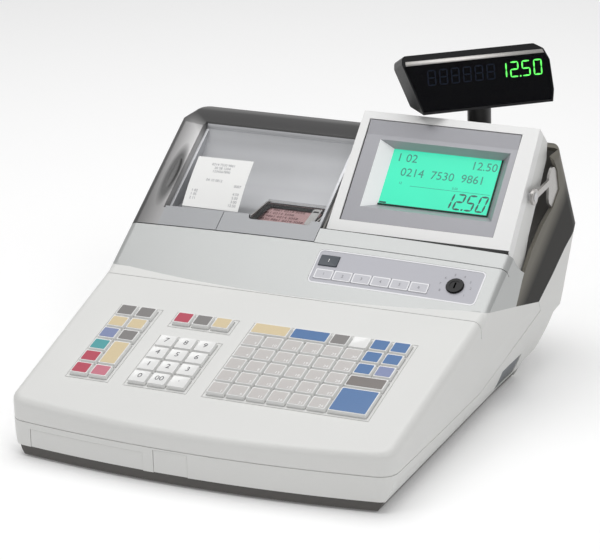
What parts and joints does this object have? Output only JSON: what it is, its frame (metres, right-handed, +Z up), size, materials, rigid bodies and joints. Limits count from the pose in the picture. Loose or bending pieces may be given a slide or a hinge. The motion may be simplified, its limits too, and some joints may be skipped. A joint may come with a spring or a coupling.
{
  "type": "ticket register",
  "caption": "Electronic ticket register with a sloping keyboard, tilting operator display, two-station printer under a hinged cover, and a turning customer display on a pole.",
  "frame": {"origin": "centre of the whole box in plan, on the surface that the feet stand on", "axes": "+X to the clerk's right along the keyboard, +Y from the clerk to the back, +Z up"},
  "size_m": [0.376, 0.4646, 0.2881],
  "materials": {
    "base_tray": "fine dark texture",
    "feet": "matt",
    "screws": "zinc plated",
    "boards": "circuit board lacquer",
    "supply": "folded sheet",
    "case_light": "fine moulded texture",
    "case_silver": "satin silver",
    "case_dark": "satin bronze grey",
    "side_panel": "satin",
    "gland": "matt",
    "recess": "satin",
    "panel": "printed film",
    "metal": "plated",
    "keys_white": "clear cap over a white label",
    "keys_label": "clear cap over a pale label",
    "keys_tan": "clear cap over a tan label",
    "keys_mixed": "clear caps over coloured labels",
    "keys_blue": "clear cap over a blue label",
    "keys_brown": "clear cap over a grey brown label",
    "buttons": "soft film keys",
    "dark_button": "satin",
    "display_white": "smooth satin",
    "bezel": "satin",
    "lcd": "lit panel",
    "window": "dark clear window",
    "paper": "uncoated",
    "steel": "folded sheet",
    "cradle": "plain moulding",
    "rollers": "ground rubber",
    "head_black": "smooth satin",
    "head_lens": "dark clear lens",
    "vfd": "vacuum tube",
    "pole": "satin"
  },
  "bodies": {
    "casing": {"base_tray": "base_tray", "rubber_feet": "feet", "case_screws": "screws", "main_board": "boards", "power_supply": "supply", "access_cover": "case_light", "blank_cover": "case_light", "lower_case": "case_light", "side_panel": "side_panel", "cord_gland": "gland", "rear_housing": "case_light", "upper_case": "case_light", "key_board": "boards", "band_panel": "case_silver", "control_panel": "panel", "key_barrel": "metal", "rear_shell": "case_dark", "cover_hinge_pin": "metal", "display_well": "case_dark", "display_bracket": "metal", "printer_chassis": "steel", "roll_cradle": "cradle", "print_heads": "cradle", "receipt_web": "paper", "journal_web": "paper", "customer_collar": "pole"},
    "printer_cover": {"cover_arch": "case_dark", "cover_recess": "recess", "cover_front_plate": "case_silver", "journal_window": "window", "receipt_paper": "paper"},
    "operator_display": {"display_frame": "display_white", "display_back": "display_white", "display_bezel": "bezel", "lcd_panel": "lcd", "display_pins": "metal"},
    "display_pole": {"customer_pole": "pole"},
    "customer_display": {"customer_head": "head_black", "customer_lens": "head_lens", "customer_vfd": "vfd"},
    "key_switch": {"key_rotor": "metal"},
    "receipt_roll": {"receipt_roll": "paper"},
    "receipt_platen": {"receipt_platen": "rollers"},
    "journal_roll": {"journal_roll": "paper"},
    "journal_platen": {"journal_platen": "rollers"},
    "takeup_spool": {"takeup_spool": "cradle"},
    "keys_7_8_9": {"keys_7_8_9": "keys_white"},
    "keys_4_5_6": {"keys_4_5_6": "keys_white"},
    "keys_1_2_3": {"keys_1_2_3": "keys_white"},
    "keys_0_00_point": {"keys_0_00_point": "keys_white"},
    "function_keys": {"function_keys": "keys_mixed"},
    "feed_key": {"feed_key": "keys_tan"},
    "sign_keys": {"sign_keys": "keys_mixed"},
    "wide_keys": {"wide_keys": "keys_tan"},
    "item_keys": {"item_keys": "keys_label"},
    "side_keys": {"side_keys": "keys_blue"},
    "subtotal_key": {"subtotal_key": "keys_brown"},
    "total_key": {"total_key": "keys_blue"},
    "clerk_keys": {"clerk_keys": "buttons"},
    "receipt_key": {"receipt_key": "dark_button"}
  },
  "joints": [
    {"name": "printer_cover_hinge", "type": "hinge", "parent": "casing", "child": "printer_cover", "pos_m": [0, 0.20624, 0.158], "axis": [-1, 0, 0], "range_deg": [0, 75]},
    {"name": "display_tilt", "type": "hinge", "parent": "casing", "child": "operator_display", "pos_m": [0, 0.09924, 0.1785], "axis": [1, 0, 0], "range_deg": [-12, 8]},
    {"name": "customer_pole_slide", "type": "slide", "parent": "casing", "child": "display_pole", "axis": [0, 0, 1], "range_m": [0, 0.045]},
    {"name": "customer_display_turn", "type": "hinge", "parent": "display_pole", "child": "customer_display", "pos_m": [0.102, 0.17724, 0.2375], "axis": [0, 0, 1], "range_deg": [-140, 130]},
    {"name": "key_switch_turn", "type": "hinge", "parent": "casing", "child": "key_switch", "pos_m": [0.148, 0.00345, 0.12177], "axis": [0, -0.5299, 0.848], "range_deg": [-60, 120]},
    {"name": "keys_7_8_9_press", "type": "slide", "parent": "casing", "child": "keys_7_8_9", "axis": [0, 0.2588, -0.9659], "range_m": [0, 0.0025], "stiffness_N_per_m": 600, "springref_m": -0.0015},
    {"name": "keys_4_5_6_press", "type": "slide", "parent": "casing", "child": "keys_4_5_6", "axis": [0, 0.2588, -0.9659], "range_m": [0, 0.0025], "stiffness_N_per_m": 600, "springref_m": -0.0015},
    {"name": "keys_1_2_3_press", "type": "slide", "parent": "casing", "child": "keys_1_2_3", "axis": [0, 0.2588, -0.9659], "range_m": [0, 0.0025], "stiffness_N_per_m": 600, "springref_m": -0.0015},
    {"name": "keys_0_00_point_press", "type": "slide", "parent": "casing", "child": "keys_0_00_point", "axis": [0, 0.2588, -0.9659], "range_m": [0, 0.0025], "stiffness_N_per_m": 600, "springref_m": -0.0015},
    {"name": "function_keys_press", "type": "slide", "parent": "casing", "child": "function_keys", "axis": [0, 0.2588, -0.9659], "range_m": [0, 0.0025], "stiffness_N_per_m": 2000, "springref_m": -0.0015},
    {"name": "feed_key_press", "type": "slide", "parent": "casing", "child": "feed_key", "axis": [0, 0.2588, -0.9659], "range_m": [0, 0.0025], "stiffness_N_per_m": 200, "springref_m": -0.0015},
    {"name": "sign_keys_press", "type": "slide", "parent": "casing", "child": "sign_keys", "axis": [0, 0.2588, -0.9659], "range_m": [0, 0.0025], "stiffness_N_per_m": 600, "springref_m": -0.0015},
    {"name": "wide_keys_press", "type": "slide", "parent": "casing", "child": "wide_keys", "axis": [0, 0.2588, -0.9659], "range_m": [0, 0.0025], "stiffness_N_per_m": 400, "springref_m": -0.0015},
    {"name": "item_keys_press", "type": "slide", "parent": "casing", "child": "item_keys", "axis": [0, 0.2588, -0.9659], "range_m": [0, 0.0025], "stiffness_N_per_m": 6400, "springref_m": -0.0015},
    {"name": "side_keys_press", "type": "slide", "parent": "casing", "child": "side_keys", "axis": [0, 0.2588, -0.9659], "range_m": [0, 0.0025], "stiffness_N_per_m": 1200, "springref_m": -0.0015},
    {"name": "subtotal_key_press", "type": "slide", "parent": "casing", "child": "subtotal_key", "axis": [0, 0.2588, -0.9659], "range_m": [0, 0.0025], "stiffness_N_per_m": 200, "springref_m": -0.0015},
    {"name": "total_key_press", "type": "slide", "parent": "casing", "child": "total_key", "axis": [0, 0.2588, -0.9659], "range_m": [0, 0.0025], "stiffness_N_per_m": 200, "springref_m": -0.0015},
    {"name": "clerk_keys_press", "type": "slide", "parent": "casing", "child": "clerk_keys", "axis": [0, 0.5299, -0.848], "range_m": [0, 0.0003], "stiffness_N_per_m": 1800, "springref_m": -0.0015},
    {"name": "receipt_key_press", "type": "slide", "parent": "casing", "child": "receipt_key", "axis": [0, 0.5299, -0.848], "range_m": [0, 0.0006], "stiffness_N_per_m": 300, "springref_m": -0.0015},
    {"name": "receipt_roll_spin", "type": "hinge", "parent": "casing", "child": "receipt_roll", "pos_m": [0, 0.14424, 0.099], "axis": [1, 0, 0], "continuous": true},
    {"name": "receipt_platen_spin", "type": "hinge", "parent": "casing", "child": "receipt_platen", "pos_m": [0, 0.06024, 0.114], "axis": [1, 0, 0], "continuous": true},
    {"name": "journal_roll_spin", "type": "hinge", "parent": "casing", "child": "journal_roll", "pos_m": [0, 0.14424, 0.099], "axis": [1, 0, 0], "continuous": true},
    {"name": "journal_platen_spin", "type": "hinge", "parent": "casing", "child": "journal_platen", "pos_m": [0, 0.06024, 0.114], "axis": [1, 0, 0], "continuous": true},
    {"name": "takeup_spin", "type": "hinge", "parent": "casing", "child": "takeup_spool", "pos_m": [0, 0.09124, 0.113], "axis": [1, 0, 0], "continuous": true}
  ],
  "couplings": [
    {"joint": "receipt_platen_spin", "follows": "receipt_roll_spin", "ratio": -4.8571},
    {"joint": "journal_platen_spin", "follows": "journal_roll_spin", "ratio": -4.8571},
    {"joint": "takeup_spin", "follows": "journal_roll_spin", "ratio": -2.4286}
  ]
}
